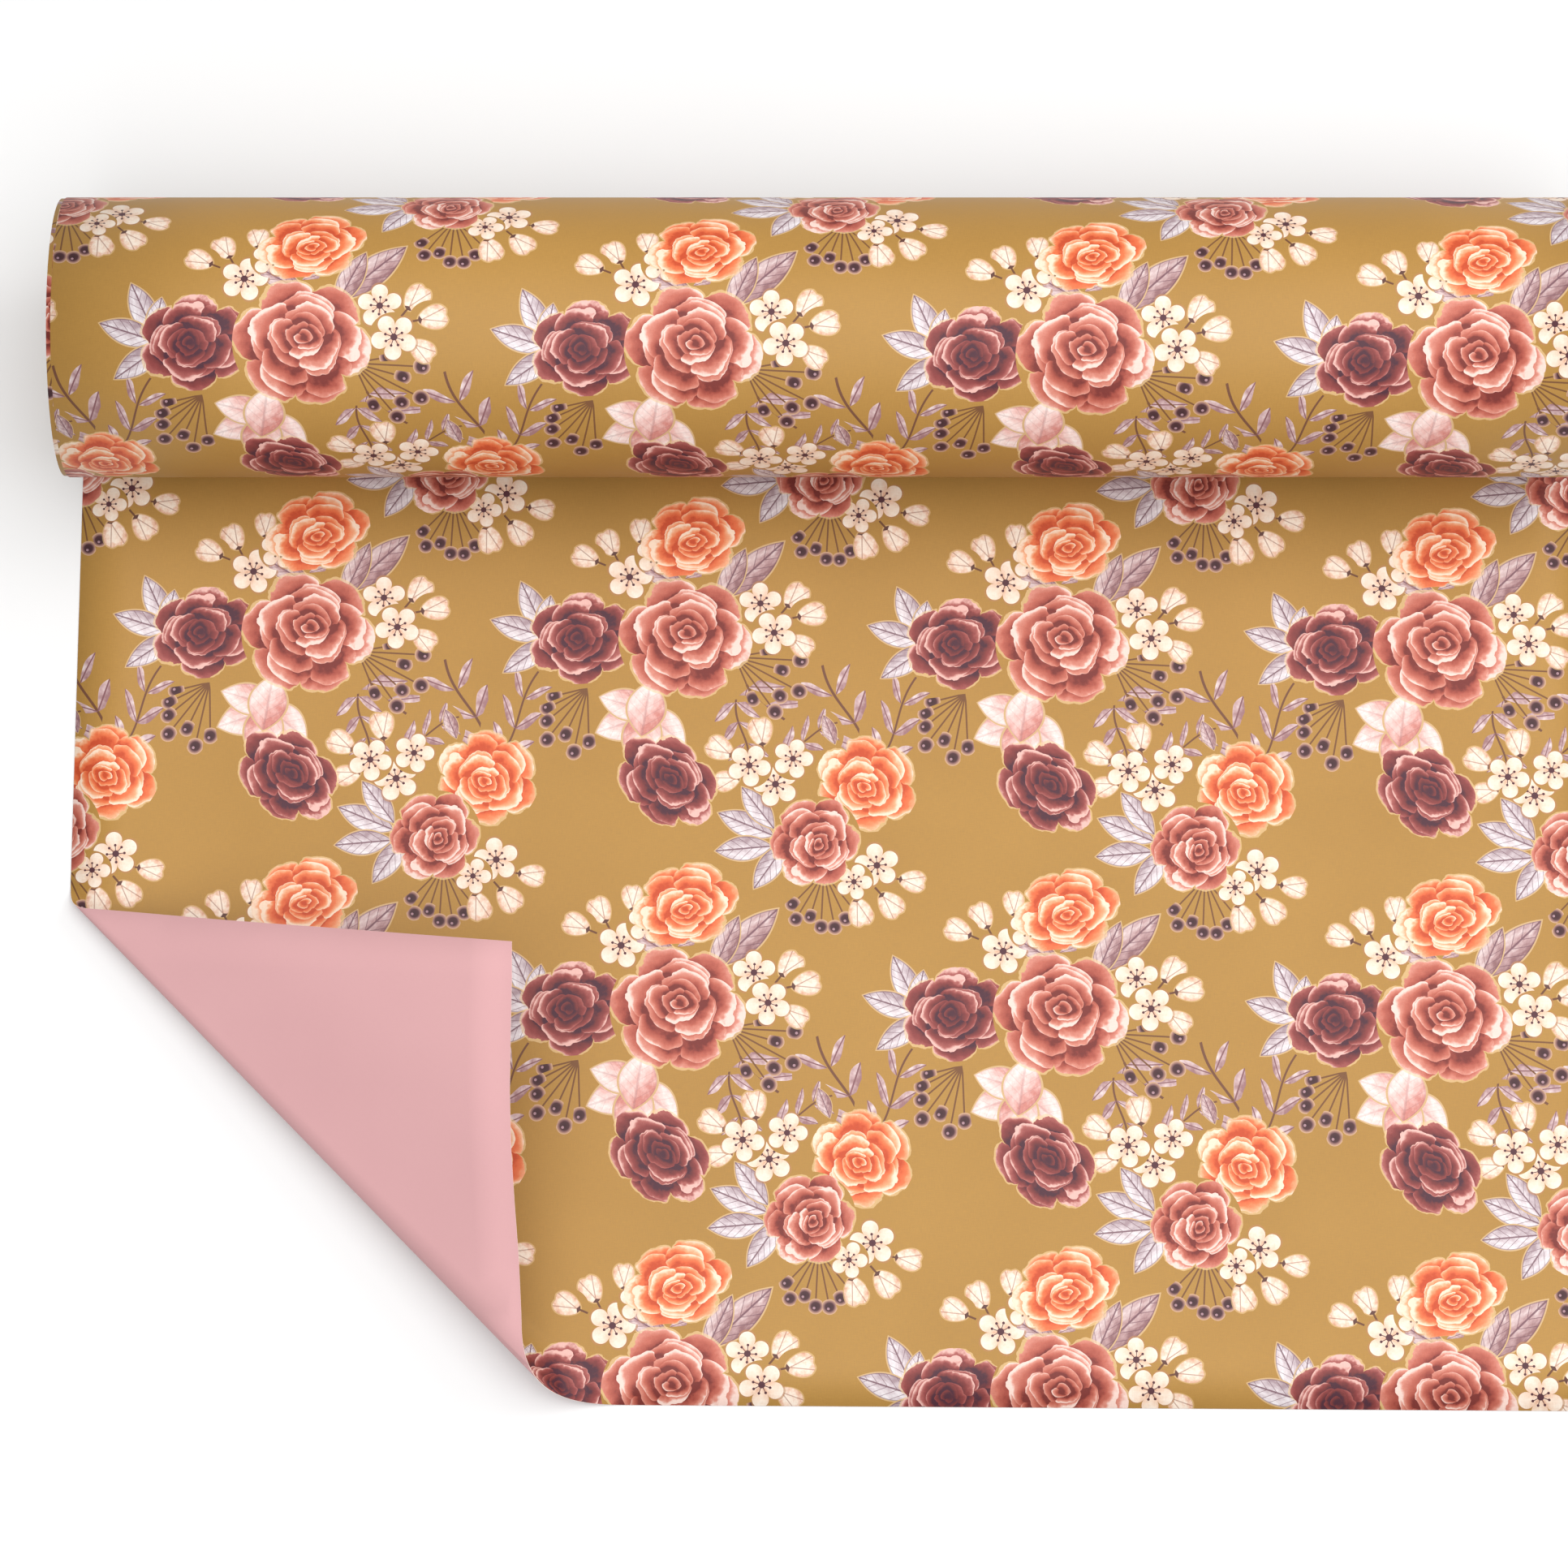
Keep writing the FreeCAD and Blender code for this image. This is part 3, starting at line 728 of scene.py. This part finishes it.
def hung_web(name, web, bend, thickness):
    """Bends a flat web through bend(), which gives a place and the printed side's normal, and gives it
    its two faces, the print and the pink reverse, and its bare cut edges."""
    bmesh.ops.triangulate(web, faces=web.faces[:])
    flat = [tuple(vert.co) for vert in web.verts]
    faces = [[vert.index for vert in face.verts] for face in web.faces]
    rims = [[loop.vert.index, loop.link_loop_next.vert.index]
            for edge in web.edges if len(edge.link_faces) == 1 for loop in edge.link_loops]
    bent = [bend(x, y) for x, y, _ in flat]
    verts = [place + normal * (thickness / 2) for place, normal in bent]
    verts += [place - normal * (thickness / 2) for place, normal in bent]
    under = len(flat)
    made = bpy.data.meshes.new(name)
    made.from_pydata(
        [tuple(vert) for vert in verts], [],
        faces + [[number + under for number in reversed(face)] for face in faces]
        + [[first, first + under, second + under, second] for first, second in rims],
    )
    layer = made.uv_layers.new(name="Web")
    for loop in made.loops:
        x, y, _ = flat[loop.vertex_index % under]
        layer.data[loop.index].uv = (x, y)
    for number, face in enumerate(made.polygons):
        face.material_index = min(number // len(faces), 2)
        face.use_smooth = number < 2 * len(faces)
    for finish in (printed_side, pink_side, bare_edge):
        made.materials.append(finish)
    made.validate()
    piece = bpy.data.objects.new(name, made)
    scene.collection.objects.link(piece)
    return piece, flat


def round_the_roll(x, y):
    """Where a point of the flat web lies in the last turns, and the way out of the print there."""
    turn = (y - straight_web) / roll_radius
    radius = roll_radius - paper_thickness / 2 - print_margin - turn_build * turn / math.tau
    out = Vector((0.0, math.sin(leaving_angle - turn), -math.cos(leaving_angle - turn)))
    wander = 0.00014 * math.sin(1.7 * turn) + 0.00009 * math.sin(5.3 * turn)
    return Vector((x + wander, 0.0, axis_height)) + out * radius, out


web = bmesh.new()
web_end = straight_web + roll_radius * math.tau * outer_turns_count
web.faces.new([web.verts.new((x, y, 0.0)) for x, y in (
    (roll_low[0], straight_web), (roll_high[0], straight_web),
    (roll_high[0], web_end), (roll_low[0], web_end))])
for number in range(1, int(facets_round * outer_turns_count)):
    score(web, (0.0, straight_web + roll_radius * math.tau * number / facets_round), (1.0, 0.0))
for number in range(1, strips_along):
    score(web, (roll_low[0] + (roll_high[0] - roll_low[0]) * number / strips_along, 0.0), (0.0, 1.0))
web.verts.index_update()
outer_turns, _ = hung_web("outer_turns", web, round_the_roll, paper_thickness)
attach(outer_turns, "roll")
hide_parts("outer_wrap")

# --- loose sheet ----------------------------------------------------------------------------------
# The free end of the same web. It turns back on itself behind the roll, runs forward flat on the
# table under it, and ends in a cut edge. Its left front corner is rolled over to show the reverse.

loose_thickness = 0.00015
sheet_low, sheet_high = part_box("free_sheet")
turn_back_radius = 0.0018
turn_back_y = sheet_high[1]
free_length = -sheet_low[1]
corner_joint = next(joint for joint in frame["joints"] if joint["name"] == "corner_fold")
cone_tip = Vector(corner_joint["pos_m"])
cone_axis = Vector(corner_joint["axis"]).normalized()
cone_half_angle = math.asin(cone_axis.z)
fold_turn = math.radians(150.8)
touch_line = Vector((cone_axis.x, cone_axis.y, 0.0)).normalized()
outward = Vector((touch_line.y, -touch_line.x, 0.0))
cone_down = touch_line * math.sin(cone_half_angle) - Vector((0, 0, 1)) * math.cos(cone_half_angle)
curl_end = fold_turn * math.sin(cone_half_angle)
table_gap = 0.0001
resting_height = table_gap + loose_thickness / 2
flap_bow = 0.003         # half the rise at the middle of the flap
flap_dent = 0.0007       # depth of the handling dents in it


def fan_angle(x, y):
    """Angle about the cone's tip, on the flat sheet, from the line where the paper leaves the table."""
    spoke = Vector((x, y - free_length, 0.0)) - cone_tip
    return math.atan2(spoke.dot(outward), spoke.dot(touch_line)), math.hypot(spoke.x, spoke.y)


def over_the_table(x, y):
    """Where a point of the flat web lies in the turn-back, the flat sheet, the curl or the flap."""
    behind = y - free_length - turn_back_y
    if behind > 0:
        turn = behind / turn_back_radius
        centre = Vector((x, turn_back_y, resting_height + turn_back_radius))
        out = Vector((0.0, math.sin(turn), -math.cos(turn)))
        return centre + out * turn_back_radius, -out
    angle, spoke = fan_angle(x, y)
    if angle <= 0:
        return Vector((x, y - free_length, resting_height)), Vector((0.0, 0.0, 1.0))
    turn = min(angle, curl_end) / math.sin(cone_half_angle)
    way_out = cone_down * math.cos(turn) + outward * math.sin(turn)
    line = cone_axis * math.cos(cone_half_angle) + way_out * math.sin(cone_half_angle)
    out = way_out * math.cos(cone_half_angle) - cone_axis * math.sin(cone_half_angle)
    rest = max(angle - curl_end, 0.0)
    bow = flap_bow * (1 - math.cos(math.tau * rest / flap_angle)) * min(1.0, (spoke / 0.3) ** 2)
    waves = math.sin(58 * rest * spoke + 1.3) * math.sin(26 * spoke + 0.4)
    dent = bow + flap_dent * waves * min(rest * 9, 1.0)
    line = line * math.cos(rest) + out.cross(line) * math.sin(rest)
    return cone_tip + line * spoke + out * dent + Vector((0.0, 0.0, resting_height)), -out


flap_inset = 0.009       # how far the loose corner has drawn in from the left edge
cut_slope = 0.0045       # how much shorter the sheet is along its left edge
curl_strips = 48
rear_strips = 24
columns = 28
rows = 20
row_depth = 0.025
left, right = sheet_low[0], sheet_high[0]
lift_share = (left - cone_tip.x) / touch_line.x
left_lift_y = cone_tip.y + touch_line.y * lift_share + free_length
corner_y = cut_slope * (1 - flap_inset / (right - left))
flap_angle = fan_angle(left + flap_inset, corner_y)[0] - curl_end
web = bmesh.new()
web.faces.new([web.verts.new((x, y, 0.0)) for x, y in (
    (left, straight_web), (left, left_lift_y), (left + flap_inset, corner_y), (right, 0.0),
    (right, straight_web))])
tip_on_web = (cone_tip.x, cone_tip.y + free_length)
for number in range(curl_strips + 1):
    angle = curl_end * number / curl_strips
    line = touch_line * math.cos(angle) + outward * math.sin(angle)
    score(web, tip_on_web, (line.x, line.y))
turn_back_start = free_length + turn_back_y
for number in range(rear_strips + 1):
    score(web, (0.0, turn_back_start + (straight_web - free_length - turn_back_y) * number / rear_strips),
          (1.0, 0.0))
for number in range(1, columns):
    score(web, (left + (right - left) * number / columns, 0.0), (0.0, 1.0))
for number in range(1, rows):
    score(web, (0.0, row_depth * number), (1.0, 0.0))
web.verts.index_update()
loose_sheet, flat = hung_web("loose_sheet", web, over_the_table, loose_thickness)
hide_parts("free_sheet", "turned_back_web", "corner_curl", "corner_flap")
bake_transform(loose_sheet)
